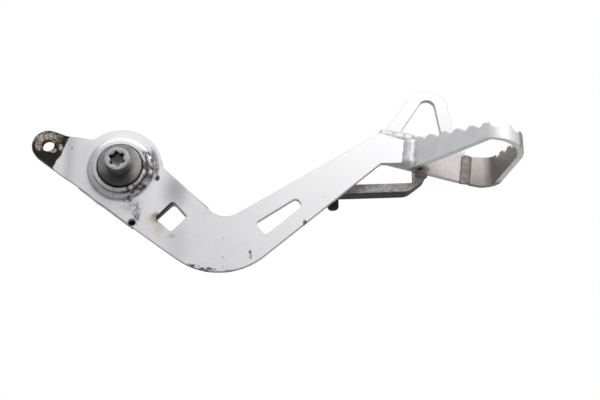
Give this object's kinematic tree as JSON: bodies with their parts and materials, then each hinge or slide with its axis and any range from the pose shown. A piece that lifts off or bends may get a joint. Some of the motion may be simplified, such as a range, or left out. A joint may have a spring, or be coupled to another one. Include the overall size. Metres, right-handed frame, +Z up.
{
  "type": "rear brake pedal",
  "caption": "Stamped steel rear brake pedal arm with a bushed pivot on its bolt, push-rod ear, guard hoop, stop bar and serrated tread loop.",
  "frame": {"origin": "on the pivot axis, where the sleeve's inboard end seats on the machine and the bolt's thread begins", "axes": "+X forward to the tread, +Y inboard to the machine along the pivot bolt, +Z up"},
  "size_m": [0.2465, 0.0804, 0.1022],
  "materials": {
    "silver_paint": "satin",
    "bare_steel": "brushed",
    "weld_metal": "rough",
    "phosphated_steel": "satin",
    "machined_steel": "smooth",
    "dark_steel": "rough",
    "bronze": "smooth",
    "black_rubber": "matt"
  },
  "bodies": {
    "pivot": {"pivot_bolt": "phosphated_steel", "pivot_collar": "phosphated_steel", "pivot_sleeve": "machined_steel"},
    "pedal": {"arm_plate": "silver_paint", "backing_plate": "silver_paint", "pivot_tube": "silver_paint", "boss_ring": "silver_paint", "tube_weld": "silver_paint", "guard_hoop": "silver_paint", "arm_end_weld": "silver_paint", "hoop_weld": "silver_paint", "lap_weld": "weld_metal", "bar_weld": "weld_metal", "tread_strip": "bare_steel", "stop_bar": "dark_steel", "stop_buffer": "black_rubber", "bush_outboard": "bronze", "bush_inboard": "bronze", "seal_outboard": "black_rubber", "seal_inboard": "black_rubber"}
  },
  "joints": [
    {"name": "pedal_pivot", "type": "hinge", "parent": "pivot", "child": "pedal", "pos_m": [0, 0, 0], "axis": [0, 1, 0], "range_deg": [0, 12]}
  ]
}
